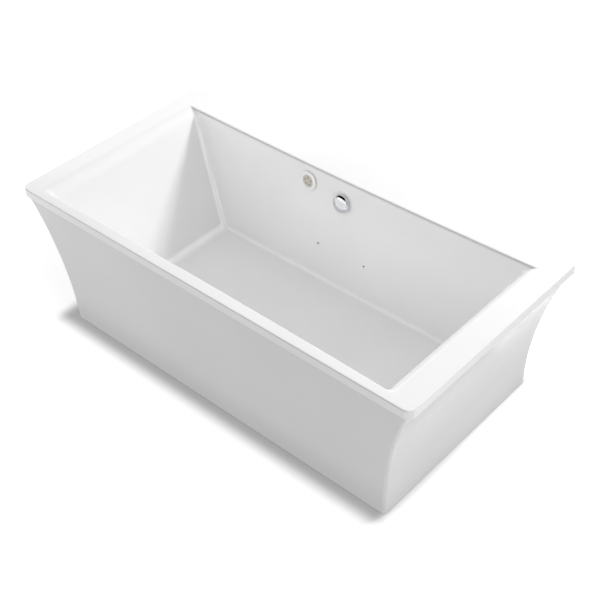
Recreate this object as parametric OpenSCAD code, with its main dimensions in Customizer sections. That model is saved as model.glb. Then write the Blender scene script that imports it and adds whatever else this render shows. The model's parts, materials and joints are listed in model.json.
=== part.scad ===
// Freestanding rectangular air bath with a flared outer shroud.
// Millimetres, +Z up. The origin is on the floor under the middle of the rim.
// +X runs along the tub, +Y towards the long wall that carries the overflow.

/* [Rim] */
// Overall length across the rim
rim_l = 1829; // [1640:1:2200]
// Overall width across the rim
rim_w = 914; // [820:1:1100]
// Height of the deck above the floor
rim_h = 606; // [540:1:730]
// Height of the rim's outer face
lip_h = 38; // [25:1:60]
// Thickness of the rim's outer face
lip_t = 5; // [3:0.5:7]
// Plan radius of the rim's corners
rim_r = 28; // [24:1:60]
// Thickness of the moulded basin
shell_t = 6; // [4:0.5:9]

/* [Well] */
// Width of the deck on the overflow side
rear_deck = 133; // [110:1:180]
// Width of the deck on the open side
front_deck = 45; // [42:1:90]
// Length of deck and roll between the rim's end and the line of an end wall
end_deck = 116; // [100:1:150]
// How far an end wall leans in from the deck to the floor
end_run = 188; // [120:1:210]
// How far a long wall leans in from the deck to the floor
side_run = 60; // [30:1:80]
// Height of the bath floor above the room floor
floor_z = 135; // [132:1:150]
// Radius of the roll from the deck into an end wall
roll_r = 60; // [30:1:75]
// Plan radius of the well's corners at the deck
well_r = 16; // [10:1:40]
// Radius between the walls and the bath floor
floor_r = 55; // [35:1:70]

/* [Shroud] */
// Wall of the shroud
shroud_t = 5; // [3:0.5:8]
// Inset of the shroud's foot from the rim at the two ends
end_inset = 127; // [90:1:140]
// Inset of the shroud's foot from the rim at the long sides
side_inset = 46; // [25:1:56]
// Inset of the shroud where it passes behind the rim
top_inset = 10; // [9:0.5:16]
// How late the ends flare out, where 1 is a straight slope
end_flare = 2.2; // [1:0.1:3.5]
// How late the long sides flare out, where 1 is a straight slope
side_flare = 1.7; // [1:0.1:3.5]
// Gap between the shroud and the room floor
shroud_gap = 2; // [1:0.5:6]
// Width of the flange that the deck sits on
flange_w = 20; // [14:1:24]
// Number of screws along each long side of the flange
flange_screws = 5; // [3:1:9]

/* [Frame] */
// Thickness of the reinforcing board under the bath floor
board_t = 16; // [10:1:18]
// Width and height of the square frame tube
tube_w = 30; // [25:1:32]
// Wall of the frame tube
tube_t = 2; // [1.5:0.5:3]
// Length of the frame
frame_l = 1200; // [1000:1:1220]
// Distance between the centres of the two frame rails
rail_gap = 490; // [400:1:520]
// Radius of a levelling stud
stud_r = 6; // [5:0.5:8]
// Length of a levelling stud above its pad
stud_l = 90; // [80:1:94]
// Radius of a foot pad
pad_r = 28; // [18:1:36]
// Height of a foot pad
pad_h = 10; // [6:1:14]

/* [Waste] */
// Distance of the drain from the middle of the tub, towards the open side
drain_y = 95; // [70:1:120]
// Radius of the waste pipes
pipe_r = 19.05; // [16:0.05:20]
// Wall of the waste pipes
pipe_t = 1.6; // [1:0.1:2.5]
// Height of the waste run above the room floor
waste_z = 58; // [50:1:60]
// Radius of the chrome drain flange
drain_r = 38; // [32:1:44]
// Radius of the drain stopper
stopper_r = 31; // [26:1:36]
// Lift of the drain stopper
stopper_lift = 10; // [6:1:14]

/* [Overflow] */
// Drop of the overflow below the deck
overflow_drop = 96; // [85:1:130]
// Radius of the overflow knob
knob_r = 37; // [34:0.5:42]
// How far the knob stands off the wall
knob_h = 26; // [20:1:32]
// Distance from the knob's axis to its flat lower side
knob_flat = 31; // [26:1:33]

/* [Control] */
// Distance of the control from the middle of the tub
control_x = 170; // [120:1:240]
// Drop of the control below the deck
control_drop = 69; // [60:1:110]
// Radius of the control's bezel
bezel_r = 39.5; // [36:0.5:44]
// Radius of the control's face
face_r = 24.5; // [22:0.5:26]
// Number of push buttons in the control
buttons = 5; // [3:1:7]
// Radius of one push button
button_r = 3; // [2:0.5:4]
// Travel of one push button
button_travel = 1; // [0.5:0.1:2]

/* [Air] */
// Distance between the two air jets in a wall
jet_pitch = 230; // [120:1:400]
// Offset of the pair of jets from the middle of the tub
jet_mid = 10; // [-60:1:60]
// Drop of the air jets below the deck
jet_drop = 317; // [250:1:340]
// Radius of a jet's flange
jet_r = 9; // [7:0.5:12]
// Radius of the air pipes
air_r = 10; // [8:0.5:11]
// Radius of the blower
blower_r = 56; // [40:1:58]
// Height of the blower
blower_h = 92; // [70:1:100]

/* [Hidden] */
BUTTON_NODES = [for (i = [1:buttons]) str("control_button_", i)];
FEET = ["front_left", "front_right", "rear_left", "rear_right"];
$fn = 64;

// General clearances
slack = 1;
run_fit = 0.06;
seat_gap = 0.3;
cord_sides = 10;
well_sides = 24;

// Basin walls
half_l = rim_l / 2;
half_w = rim_w / 2;
rear_y = half_w - rear_deck;
front_y = -half_w + front_deck;
end_x = half_l - end_deck;
well_d = rim_h - floor_z;
side_slope = side_run / well_d;
end_slope = end_run / well_d;
side_tilt = atan(side_slope);
end_tilt = atan(end_slope);
roll_turn = 90 - end_tilt;
roll_x = end_x + roll_r * tan(roll_turn / 2);
floor_under = floor_z - shell_t;

// Shroud
deck_under = rim_h - shell_t;
lip_low = rim_h - lip_h;
flange_t = 5;
flare_steps = 18;
screw_r = 2;
screw_end = 60;

// Frame
board_low = floor_under - board_t;
rail_low = board_low - tube_w;
frame_mid_y = (rear_y - side_run + front_y + side_run) / 2;
rear_rail_y = frame_mid_y + rail_gap / 2;
front_rail_y = frame_mid_y - rail_gap / 2;
foot_x = frame_l / 2 - 60;
lock_nut_h = 9;
lock_nut_r = 11;

// Waste fittings
drain_pos = [0, -drain_y];
shoe_r = 30;
shoe_neck_r = 23;
shoe_low = waste_z - pipe_r - 7;
hub_r = 8;
stem_r = 4;
fitting_r = pipe_r + 4;
nut_r = fitting_r + 4;
nut_l = 14;
tee_half = 38;
tail_low = 4;
tail_step = 0.5;
tail_grip = 8;
socket_fit = 0.15;
socket_r = pipe_r + socket_fit;
tail_top_r = pipe_r - tail_step;

// Overflow, measured along the wall's normal from the bath face
overflow_z = rim_h - overflow_drop;
elbow_near = 9;
elbow_far = 59;
elbow_mid = (elbow_near + elbow_far) / 2;
elbow_r = 34;
elbow_wall = 4;
overflow_neck_r = 23.5;
overflow_plate_r = 32;
shaft_r = 6;
tube_y = wall_y(overflow_z) + elbow_mid * cos(side_tilt);
spigot_low = overflow_z - 60;
cable_r = 3;

// Control, measured along the wall's normal from the bath face
control_z = rim_h - control_drop;
control_neck_r = 29;
control_depth = 30;
bezel_h = 6;
gasket_t = 1;
button_ring_r = 14.5;

// Air system
jet_z = rim_h - jet_drop;
jet_neck_r = 5;
jet_hole_r = 3.2;
air_off = 26;
air_t = 1.5;
air_bend = 40;
air_end_x = -(half_l - end_inset + 5 - 44);
rear_air_y = wall_y(jet_z) + air_off * cos(side_tilt);
front_air_y = -front_wall_y(jet_z) - air_off * cos(side_tilt);
air_z = jet_z - air_off * sin(side_tilt);
jet_xs = [jet_mid - jet_pitch / 2, jet_mid + jet_pitch / 2];
air_close = 30;
tee_reach = 34;
tray_top = rail_low;
tray_t = 3;
mount_h = 6;
blower_low = tray_top + mount_h;
blower_x = -(half_l - end_inset - shroud_t - blower_r - 6);
box_size = [64, 110, 96];
box_pos = [blower_x + 14, 150, 0];

// Inner face of the overflow wall at a height
function wall_y(z) = rear_y - side_slope * (rim_h - z);
// Distance of the inner face of the open-side wall from the middle at a height
function front_wall_y(z) = -front_y - side_slope * (rim_h - z);
// Inset of the shroud from the rim at a height
function flare(z, low, bend) = low - (low - top_inset) * pow(min(max(z, 0) / lip_low, 1), bend);
// Half outline of the shroud, from foot to top
function flare_line(half, low, bend, top, wall) =
    concat(
        [for (i = [0:flare_steps]) let (z = lip_low * i / flare_steps) [half - flare(z, low, bend) - wall, z]],
        [[half - top_inset - wall, top]]
    );
// A half outline joined to its mirror image
function both_sides(line) =
    concat(line, [for (i = [len(line) - 1:-1:0]) [-line[i][0], line[i][1]]]);
// Arc points about a centre
function arc(cx, cy, r, from, to, steps) =
    [for (i = [0:steps]) let (a = from + (to - from) * i / steps) [cx + r * cos(a), cy + r * sin(a)]];

// Places children on the overflow wall: +Z into the bath, +Y up the wall
module on_rear_wall(x, z) {
    translate([x, wall_y(z), z]) rotate([90 - side_tilt, 0, 0]) children();
}

// Places children on the open-side wall: +Z into the bath
module on_front_wall(x, z) {
    translate([x, -front_wall_y(z), z]) rotate([side_tilt - 90, 0, 0]) children();
}

// A round bar between two heights
module bar(r, low, high) {
    translate([0, 0, low]) cylinder(r = r, h = high - low);
}

// A round pipe between two heights
module pipe(r_out, r_in, low, high) {
    difference() {
        bar(r_out, low, high);
        bar(r_in, low - slack, high + slack);
    }
}

// A rounded rectangle
module rounded(l, w, r) {
    square([l - 2 * r, w], center = true);
    square([l, w - 2 * r], center = true);
    for (x = [-1, 1], y = [-1, 1]) translate([x * (l / 2 - r), y * (w / 2 - r)]) circle(r = r);
}

// Direction of a route at one of its points
function heading(points, i) =
    let (d = points[min(i + 1, len(points) - 1)] - points[max(i - 1, 0)]) d / norm(d);
// Ring of points round a route
function ring(points, i, r, side) =
    let (t = heading(points, i), c = cross(t, side), u = c / norm(c), v = cross(t, u))
    [for (k = [0:cord_sides - 1]) let (a = 360 * k / cord_sides) points[i] + r * (cos(a) * u + sin(a) * v)];

// A tube through points; side is a direction that the route never takes
module run(points, r, side) {
    n = cord_sides;
    last = len(points) - 1;
    walls = [for (i = [0:last - 1], k = [0:n - 1]) let (a = i * n + k, b = i * n + (k + 1) % n)
        each [[a, b, b + n], [a, b + n, a + n]]];
    near_end = [for (k = [n - 1:-1:0]) k];
    far_end = [for (k = [0:n - 1]) last * n + k];
    polyhedron(points = [for (i = [0:last]) each ring(points, i, r, side)], faces = concat(walls, [near_end, far_end]));
}

// Places children on the four feet
module at_foot(i) {
    side = i < 2 ? front_rail_y : rear_rail_y;
    translate([(i % 2 == 0 ? -1 : 1) * foot_x, side, 0]) children();
}

// Places children at each flange screw
module at_screws() {
    x_end = half_l - top_inset - shroud_t - screw_end;
    y_side = half_w - top_inset - shroud_t - flange_w / 2;
    x_side = half_l - top_inset - shroud_t - flange_w / 2;
    for (i = [0:flange_screws - 1], y = [-1, 1])
        translate([x_end * (2 * i / (flange_screws - 1) - 1), y * y_side, 0]) children();
    for (x = [-1, 1], y = [-1, 1]) translate([x * x_side, y * half_w / 2, 0]) children();
}

// Places children at the well's four corners, at a height and in from both walls
module well_corners(z, in_x, in_y) {
    x_end = end_x - end_slope * (rim_h - z) - in_x;
    for (x = [-1, 1]) translate([x * x_end, wall_y(z) - in_y, z]) children();
    for (x = [-1, 1]) translate([x * x_end, in_y - front_wall_y(z), z]) children();
}

// The well as a solid, grown outwards by a wall
module well(grow) {
    mouth = grow > 0 ? rim_h - slack : rim_h;
    waist = floor_z + floor_r;
    in_x = floor_r / cos(end_tilt);
    in_y = floor_r / cos(side_tilt);
    hull() {
        well_corners(rim_h, well_r, well_r) translate([0, 0, mouth - rim_h])
            cylinder(r = well_r + grow, h = slack, $fn = well_sides);
        well_corners(waist, floor_r, floor_r) cylinder(r = floor_r + grow, h = slack / 10, $fn = well_sides);
        well_corners(waist, in_x, in_y) sphere(r = floor_r + grow, $fn = well_sides);
        well_corners(waist, in_x, in_y) translate([0, 0, -floor_r - grow]) cylinder(r = 5, h = slack, $fn = well_sides);
    }
}

// The rolled shoulder between the deck and both end walls, grown by a wall
module roll(grow) {
    r = roll_r - grow;
    drop = roll_r * (1 - cos(roll_turn));
    foot_x = roll_x - roll_r * sin(roll_turn);
    line = concat(
        [[roll_x, rim_h]],
        arc(roll_x, rim_h - roll_r, r, 90, 90 + roll_turn, 14),
        [[foot_x - well_r, rim_h - drop - grow], [foot_x - well_r, rim_h]]
    );
    for (x = [0, 1]) mirror([x, 0, 0]) translate([0, rear_y - side_run / 12 + grow, 0])
        rotate([90, 0, 0])
            linear_extrude(height = rear_y - front_y - side_run / 6 + 2 * grow) polygon(line);
}

// The flared block that the shroud is cut from
module flared(wall, low, high) {
    intersection() {
        rotate([90, 0, 0]) linear_extrude(height = rim_w, center = true)
            polygon(both_sides(flare_line(half_l, end_inset, end_flare, high, wall)));
        rotate([90, 0, 90]) linear_extrude(height = rim_l, center = true)
            polygon(both_sides(flare_line(half_w, side_inset, side_flare, high, wall)));
        translate([0, 0, low]) linear_extrude(height = high - low)
            rounded(rim_l - 2 * (top_inset + wall), rim_w - 2 * (top_inset + wall), rim_r - top_inset - wall);
    }
}

// Acrylic shell with its deck, rim and well
module basin() {
    color("white") difference() {
        union() {
            translate([0, 0, deck_under]) linear_extrude(height = shell_t) rounded(rim_l, rim_w, rim_r);
            difference() {
                translate([0, 0, lip_low]) linear_extrude(height = lip_h) rounded(rim_l, rim_w, rim_r);
                translate([0, 0, lip_low - slack]) linear_extrude(height = lip_h)
                    rounded(rim_l - 2 * lip_t, rim_w - 2 * lip_t, rim_r - lip_t);
            }
            well(shell_t);
            roll(shell_t);
        }
        well(0);
        roll(0);
        translate([drain_pos[0], drain_pos[1], 0]) bar(shoe_neck_r + slack, floor_under - slack, floor_z + slack);
        on_rear_wall(0, overflow_z) bar(overflow_neck_r + slack, -2 * shell_t, shell_t);
        on_rear_wall(-control_x, control_z) bar(control_neck_r + slack / 2, -2 * shell_t, shell_t);
        for (x = jet_xs) {
            on_rear_wall(x, jet_z) bar(jet_neck_r + slack / 5, -2 * shell_t, shell_t);
            on_front_wall(x, jet_z) bar(jet_neck_r + slack / 5, -2 * shell_t, shell_t);
        }
        at_screws() bar(screw_r + run_fit, deck_under - slack, rim_h - 1.5);
    }
}

// Flared skirt with its top flange
module shroud() {
    inner_l = rim_l - 2 * (top_inset + shroud_t + flange_w);
    inner_w = rim_w - 2 * (top_inset + shroud_t + flange_w);
    color("whitesmoke") difference() {
        flared(0, shroud_gap, deck_under);
        flared(shroud_t, shroud_gap - slack, deck_under - flange_t);
        translate([0, 0, deck_under]) cube([inner_l, inner_w, 4 * flange_t], center = true);
        at_screws() bar(screw_r + run_fit, deck_under - 2 * flange_t, deck_under + slack);
    }
}

// Screws that hold the deck to the shroud's flange
module flange_screws() {
    head_h = 2.5;
    color("silver") at_screws() {
        bar(screw_r, deck_under - flange_t, rim_h - 2);
        bar(2.2 * screw_r, deck_under - flange_t - head_h, deck_under - flange_t);
    }
}

// Board bonded under the bath floor
module base_board() {
    board_w = rear_y - front_y - 2 * side_run - 20;
    color("burlywood") difference() {
        translate([0, frame_mid_y, board_low + board_t / 2]) cube([frame_l, board_w, board_t], center = true);
        translate([drain_pos[0], drain_pos[1], 0]) bar(shoe_r + 15, board_low - slack, floor_under + slack);
    }
}

// One long rail of square tube, bored for its two studs
module rail(y) {
    color("silver") difference() {
        translate([0, y, board_low - tube_w / 2]) cube([frame_l, tube_w, tube_w], center = true);
        translate([0, y, board_low - tube_w / 2])
            cube([frame_l + slack, tube_w - 2 * tube_t, tube_w - 2 * tube_t], center = true);
        for (x = [-1, 1]) translate([x * foot_x, y, 0]) bar(stud_r + run_fit, rail_low - slack, rail_low + 2 * tube_t);
    }
}

// One crossbar between the rails
module crossbar(x) {
    span = rail_gap - tube_w;
    color("silver") translate([x * (frame_l - tube_w) / 2, frame_mid_y, board_low - tube_w / 2]) difference() {
        cube([tube_w, span, tube_w], center = true);
        cube([tube_w - 2 * tube_t, span + slack, tube_w - 2 * tube_t], center = true);
    }
}

// Nuts that lock the studs against the rails
module lock_nuts() {
    color("silver") for (i = [0:3]) at_foot(i) difference() {
        translate([0, 0, rail_low - lock_nut_h]) cylinder(r = lock_nut_r, h = lock_nut_h, $fn = 6);
        bar(stud_r + run_fit, rail_low - lock_nut_h - slack, rail_low + slack);
    }
}

// Threaded stud of one levelling foot
module stud(i) {
    color("silver") at_foot(i) bar(stud_r, pad_h, pad_h + stud_l);
}

// Round pad of one levelling foot
module pad(i) {
    foot_h = pad_h * 0.6;
    color("dimgray") at_foot(i) {
        bar(pad_r, 0, foot_h);
        translate([0, 0, foot_h]) cylinder(r1 = pad_r, r2 = stud_r + 4, h = pad_h - foot_h);
    }
}

// Places children over the drain
module at_drain() {
    translate([drain_pos[0], drain_pos[1], 0]) children();
}

// Chrome flange screwed through the bath floor, with the guide for the stopper's stem
module drain_flange() {
    flange_top = floor_z + 3;
    neck_low = floor_z - 32;
    wall = 3;
    spoke_h = 8;
    color("silver") at_drain() difference() {
        union() {
            pipe(drain_r, shoe_neck_r - wall, floor_z, flange_top);
            pipe(shoe_neck_r, shoe_neck_r - wall, neck_low, floor_z + slack);
            bar(hub_r, neck_low, neck_low + spoke_h);
            for (a = [0, 90]) rotate([0, 0, a]) translate([0, 0, neck_low + spoke_h / 2])
                cube([2 * shoe_neck_r - wall, wall, spoke_h], center = true);
        }
        bar(stem_r + run_fit, neck_low - slack, flange_top);
    }
}

// Rubber washer under the bath floor
module drain_gasket() {
    color("black") at_drain() pipe(shoe_r + 5, shoe_neck_r + slack, floor_under - 3, floor_under);
}

// Cup under the drain with its side outlet
module drain_shoe() {
    cup_top = floor_under - 3;
    ledge = 6;
    wall = 4;
    color("dimgray") difference() {
        union() {
            at_drain() bar(shoe_r, shoe_low, cup_top);
            at_drain() bar(shoe_r + 5, cup_top - ledge, cup_top);
            translate([0, -drain_y + shoe_r + 28, waste_z]) rotate([90, 0, 0]) cylinder(r = fitting_r, h = shoe_r + 28);
        }
        at_drain() bar(shoe_neck_r + 0.2, cup_top - 30, cup_top + slack);
        at_drain() bar(shoe_r - wall, shoe_low + wall, cup_top - 29);
        translate([0, -drain_y + shoe_r + 29, waste_z]) rotate([90, 0, 0]) cylinder(r = pipe_r - 2, h = shoe_r + 29);
        translate([0, -drain_y + shoe_r + 29, waste_z]) rotate([90, 0, 0]) cylinder(r = socket_r, h = 21);
    }
}

// Pipe from the shoe to the tee
module waste_pipe() {
    from = -drain_y + shoe_r + 8;
    to = tube_y - tee_half + 18;
    color("white") translate([0, to, waste_z]) rotate([90, 0, 0]) pipe(pipe_r, pipe_r - pipe_t, 0, to - from);
}

// Tee that joins the overflow, the shoe and the tailpiece
module waste_tee() {
    low = waste_z - pipe_r - 10;
    high = waste_z + tee_half;
    stop = 18;
    color("dimgray") difference() {
        union() {
            translate([0, tube_y, 0]) bar(fitting_r, low, high);
            translate([0, tube_y, waste_z]) rotate([90, 0, 0]) cylinder(r = fitting_r, h = tee_half);
        }
        translate([0, tube_y, 0]) bar(pipe_r - 2, low - slack, high + slack);
        translate([0, tube_y, 0]) bar(socket_r, high - stop, high + slack);
        translate([0, tube_y, 0]) bar(tail_top_r + socket_fit, low - slack, low + tail_grip);
        translate([0, tube_y, waste_z]) rotate([90, 0, 0]) cylinder(r = pipe_r - 2, h = tee_half + slack);
        translate([0, tube_y - tee_half + stop, waste_z]) rotate([90, 0, 0]) cylinder(r = socket_r, h = stop + slack);
    }
}

// Short pipe down to the trap
module tailpiece() {
    high = waste_z - pipe_r - 10;
    color("white") translate([0, tube_y, 0]) {
        pipe(pipe_r, pipe_r - pipe_t, tail_low, high);
        pipe(tail_top_r, pipe_r - pipe_t, high, high + tail_grip);
    }
}

// Rings that tighten the pipes into their sockets
module slip_nuts() {
    color("white") {
        translate([0, -drain_y + shoe_r + 28 + nut_l, waste_z]) rotate([90, 0, 0]) pipe(nut_r, socket_r, 0, nut_l);
        translate([0, tube_y - tee_half, waste_z]) rotate([90, 0, 0]) pipe(nut_r, socket_r, 0, nut_l);
        translate([0, tube_y, 0]) pipe(nut_r, socket_r, waste_z + tee_half, waste_z + tee_half + nut_l);
        translate([0, tube_y, 0]) pipe(nut_r, socket_r, spigot_low - nut_l, spigot_low);
    }
}

// Domed cap of the stopper
module stopper_cap() {
    low = floor_z + 3 + seat_gap + 2;
    crown = 2;
    edge = 3;
    color("silver") at_drain() {
        bar(stopper_r, low, low + edge);
        translate([0, 0, low + edge]) cylinder(r1 = stopper_r, r2 = stopper_r - 8, h = crown);
    }
}

// Rubber ring under the cap
module stopper_seal() {
    low = floor_z + 3 + seat_gap;
    color("black") at_drain() pipe(stopper_r - 2, stopper_r - 8, low, low + 2);
}

// Stem that guides and lifts the stopper
module stopper_stem() {
    low = waste_z + pipe_r - 6;
    color("silver") at_drain() bar(stem_r, low, floor_z + 3 + seat_gap + 2);
}

// Plate and threaded neck behind the knob
module overflow_flange() {
    plate_t = 3;
    neck_l = 20;
    wall = 3.5;
    hub = 11;
    color("silver") on_rear_wall(0, overflow_z) difference() {
        union() {
            bar(overflow_plate_r, 0, plate_t);
            pipe(overflow_neck_r, overflow_neck_r - wall, -neck_l, slack);
            bar(hub, -neck_l + 4, slack);
        }
        bar(shaft_r + run_fit, -neck_l - slack, plate_t + slack);
        for (a = [0:60:300]) rotate([0, 0, a]) translate([0, 15.5, 0]) bar(4, -slack, plate_t + slack);
    }
}

// Rubber washer behind the overflow wall
module overflow_gasket() {
    color("black") on_rear_wall(0, overflow_z) pipe(elbow_r - slack, overflow_neck_r + slack, -elbow_near, -shell_t - 0.1);
}

// Housing that turns the overflow down into its tube
module overflow_elbow() {
    color("dimgray") difference() {
        union() {
            on_rear_wall(0, overflow_z) bar(elbow_r, -elbow_far, -elbow_near);
            translate([0, tube_y, 0]) bar(fitting_r, spigot_low, overflow_z);
        }
        on_rear_wall(0, overflow_z) bar(overflow_neck_r + 0.2, -elbow_near - 8, -elbow_near + slack);
        on_rear_wall(0, overflow_z) bar(elbow_r - elbow_wall, -elbow_far + elbow_wall, -elbow_near - 7);
        translate([0, tube_y, 0]) bar(pipe_r - 2, spigot_low - slack, overflow_z);
        translate([0, tube_y, 0]) bar(socket_r, spigot_low - slack, spigot_low + 16);
    }
}

// Pipe from the overflow to the tee
module overflow_tube() {
    color("white") translate([0, tube_y, 0]) pipe(pipe_r, pipe_r - pipe_t, waste_z + tee_half - 18, spigot_low + 16);
}

// Domed knob with a flat lower side, which turns to work the stopper
module overflow_knob() {
    skin = 2;
    skirt_low = 1.5;
    skirt_high = knob_h * 0.4;
    dome = [knob_r, knob_h - skirt_high];
    outer = [for (i = [0:12]) let (a = 90 * i / 12) [dome[0] * cos(a), skirt_high + dome[1] * sin(a)]];
    inner = [for (i = [12:-1:0]) let (a = 90 * i / 12)
        [(dome[0] - skin) * cos(a), skirt_high + (dome[1] - skin) * sin(a)]];
    color("silver") on_rear_wall(0, overflow_z) {
        difference() {
            rotate_extrude() polygon(concat([[knob_r, skirt_low]], outer, inner, [[knob_r - skin, skirt_low]]));
            translate([0, -knob_r - knob_flat, 0]) cube([2 * knob_r, 2 * knob_r, 3 * knob_h], center = true);
        }
        bar(shaft_r, -elbow_mid, knob_h - skin);
    }
}

// Drum on the knob's shaft that pulls the cable
module cable_drum() {
    drum_t = 6;
    drum_r = 15;
    color("gray") on_rear_wall(0, overflow_z) bar(drum_r, -elbow_mid - drum_t, -elbow_mid);
}

// Sheathed cable from the overflow housing to the drain shoe
module drive_cable() {
    side = nut_r + cable_r + 2;
    points = [
        [side, tube_y, overflow_z - 6],
        [side, tube_y, overflow_z - 60],
        [side, tube_y, waste_z + 60],
        [side, tube_y - 6, waste_z + 34],
        [side, tube_y - 22, waste_z + 14],
        [side, tube_y - 44, waste_z + 4],
        [side, tube_y - 70, waste_z],
        [side, -drain_y + 110, waste_z],
        [side, -drain_y + 70, waste_z],
        [side - 1, -drain_y + 45, waste_z],
        [side - 4, -drain_y + 28, waste_z],
        [side - 8, -drain_y + 14, waste_z]
    ];
    color("dimgray") run(points, cable_r, [1, 0, 0]);
}

// White ring around the control
module control_bezel() {
    round_r = 3;
    top = gasket_t + bezel_h;
    color("white") on_rear_wall(-control_x, control_z) rotate_extrude() polygon(concat(
        [[face_r + run_fit, gasket_t], [bezel_r, gasket_t]],
        arc(bezel_r - round_r, top - round_r, round_r, 0, 90, 8),
        [[face_r + run_fit, top]]
    ));
}

// Rubber washer under the bezel
module control_gasket() {
    color("black") on_rear_wall(-control_x, control_z) pipe(bezel_r - 3, control_neck_r + slack, 0, gasket_t);
}

// Places children on each push button of the control
module at_button(i) {
    on_rear_wall(-control_x, control_z) rotate([0, 0, 360 * i / buttons]) translate([0, button_ring_r, 0]) children();
}

// Round face that guides the buttons
module control_face() {
    face_top = gasket_t + bezel_h - 1.5;
    color("tan") difference() {
        on_rear_wall(-control_x, control_z) bar(face_r, gasket_t, face_top);
        for (i = [1:buttons]) at_button(i) bar(button_r + run_fit, -slack, face_top + slack);
    }
}

// One push button
module control_button(i) {
    color("dimgray") at_button(i) bar(button_r, -1.5, gasket_t + bezel_h - 0.5);
}

// Cup behind the wall that holds the control
module control_housing() {
    wall = 3;
    color("dimgray") on_rear_wall(-control_x, control_z) difference() {
        bar(control_neck_r, -control_depth, gasket_t);
        bar(control_neck_r - wall, -control_depth + wall, gasket_t + slack);
    }
}

// Circuit board inside the housing
module control_board() {
    color("green") on_rear_wall(-control_x, control_z) bar(control_neck_r - 3 - slack / 2, -12, -10);
}

// Nut that clamps the control to the wall
module control_nut() {
    color("dimgray") on_rear_wall(-control_x, control_z)
        pipe(control_neck_r + 8, control_neck_r + 0.2, -shell_t - 8, -shell_t - 0.1);
}

// Lead from the control to the control box
module control_lead() {
    lead_r = 2.5;
    back_y = wall_y(control_z) + control_depth * cos(side_tilt) + 2;
    back_z = control_z - control_depth * sin(side_tilt);
    lead_y = rear_air_y + 36;
    box_top = tray_top + box_size[2];
    points = [
        [-control_x, back_y - 4, back_z],
        [-control_x, back_y + 8, back_z - 3],
        [-control_x - 3, back_y + 18, back_z - 14],
        [-control_x - 8, back_y + 22, back_z - 34],
        [-control_x - 14, lead_y, jet_z + 90],
        [-control_x - 26, lead_y, jet_z + 50],
        [-control_x - 56, lead_y, jet_z + 24],
        [-control_x - 110, lead_y, jet_z + 12],
        [-half_l + end_deck + 170, lead_y, jet_z - 20],
        [-half_l + end_deck + 100, lead_y - 14, jet_z - 28],
        [-half_l + end_deck + 70, lead_y - 46, jet_z - 36],
        [box_pos[0] - 10, box_pos[1] + 80, box_top + 62],
        [box_pos[0] - 6, box_pos[1] + 30, box_top + 46],
        [box_pos[0] - 2, box_pos[1] + 8, box_top + 28],
        [box_pos[0], box_pos[1], box_top + 10],
        [box_pos[0], box_pos[1], box_top - 2]
    ];
    color("black") run(points, lead_r, [1, -1, 0]);
}

// One air jet: a small flange with a nozzle hole and a neck through the wall
module jet() {
    dome_h = 1.6;
    difference() {
        union() {
            cylinder(r1 = jet_r, r2 = jet_r - dome_h, h = dome_h);
            bar(jet_neck_r, -air_off + air_r - 1, slack);
        }
        bar(jet_hole_r, -air_off, dome_h + slack);
    }
}

// Air jets in the overflow wall
module rear_jets() {
    color("white") for (x = jet_xs) on_rear_wall(x, jet_z) jet();
}

// Air jets in the open-side wall
module front_jets() {
    color("white") for (x = jet_xs) on_front_wall(x, jet_z) jet();
}

// Nuts that clamp the jets to the walls
module jet_nuts() {
    color("dimgray") for (x = jet_xs) {
        on_rear_wall(x, jet_z) pipe(jet_r + 1, jet_neck_r + 0.1, -shell_t - 6, -shell_t - 0.1);
        on_front_wall(x, jet_z) pipe(jet_r + 1, jet_neck_r + 0.1, -shell_t - 6, -shell_t - 0.1);
    }
}

// Solid run of one air pipe: along a long wall, round the corner and back to the tee
module air_route(y, r) {
    turn = y > 0 ? 1 : -1;
    start = jet_xs[1] + air_close;
    translate([start, y, air_z]) rotate([0, -90, 0]) cylinder(r = r, h = start - air_end_x - air_bend);
    translate([air_end_x + air_bend, y - turn * air_bend, air_z])
        rotate([0, 0, turn > 0 ? 90 : 180]) rotate_extrude(angle = 90) translate([air_bend, 0]) circle(r = r);
    translate([air_end_x, y - turn * air_bend, air_z]) rotate([turn * 90, 0, 0])
        cylinder(r = r, h = abs(y) - air_bend - tee_reach + 10);
}

// One hollow air pipe with sockets for the jets and a closed end
module air_pipe(y) {
    color("gainsboro") difference() {
        union() {
            air_route(y, air_r);
            for (x = jet_xs) jet_side(y, x) bar(jet_neck_r + 3, -air_off, -shell_t - 7);
        }
        translate([-2 * air_t, 0, 0]) air_route(y, air_r - air_t);
        for (x = jet_xs) jet_side(y, x) bar(jet_neck_r + 0.1, -air_off, -shell_t);
    }
}

// Places children on the wall that an air pipe serves
module jet_side(y, x) {
    if (y > 0) on_rear_wall(x, jet_z) children();
    if (y < 0) on_front_wall(x, jet_z) children();
}

// Air pipe behind the overflow wall
module rear_air_pipe() {
    air_pipe(rear_air_y);
}

// Air pipe behind the open-side wall
module front_air_pipe() {
    air_pipe(front_air_y);
}

// Places children at the middle of the air tee
module at_tee() {
    translate([air_end_x, 0, air_z]) children();
}

// Tee that feeds both air pipes
module air_tee() {
    r = air_r + 3;
    leg = 30;
    color("dimgray") at_tee() difference() {
        union() {
            rotate([90, 0, 0]) bar(r, -tee_reach, tee_reach);
            bar(r, -leg, 0);
        }
        rotate([90, 0, 0]) bar(air_r - air_t, -tee_reach - slack, tee_reach + slack);
        for (a = [90, -90]) rotate([a, 0, 0]) bar(air_r + 0.1, tee_reach - 12, tee_reach + slack);
        bar(air_r - air_t, -leg - slack, 0);
    }
}

// Valve that stops water running back to the blower
module check_valve() {
    top = air_z - 30;
    body = 26;
    color("white") translate([air_end_x, 0, 0]) {
        pipe(air_r + 8, air_r - air_t, top - body, top);
    }
}

// Short hose from the blower to the valve
module air_hose() {
    color("dimgray") translate([air_end_x, 0, 0]) pipe(air_r + 1.5, air_r - air_t, blower_low + blower_h, air_z - 56);
}

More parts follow.
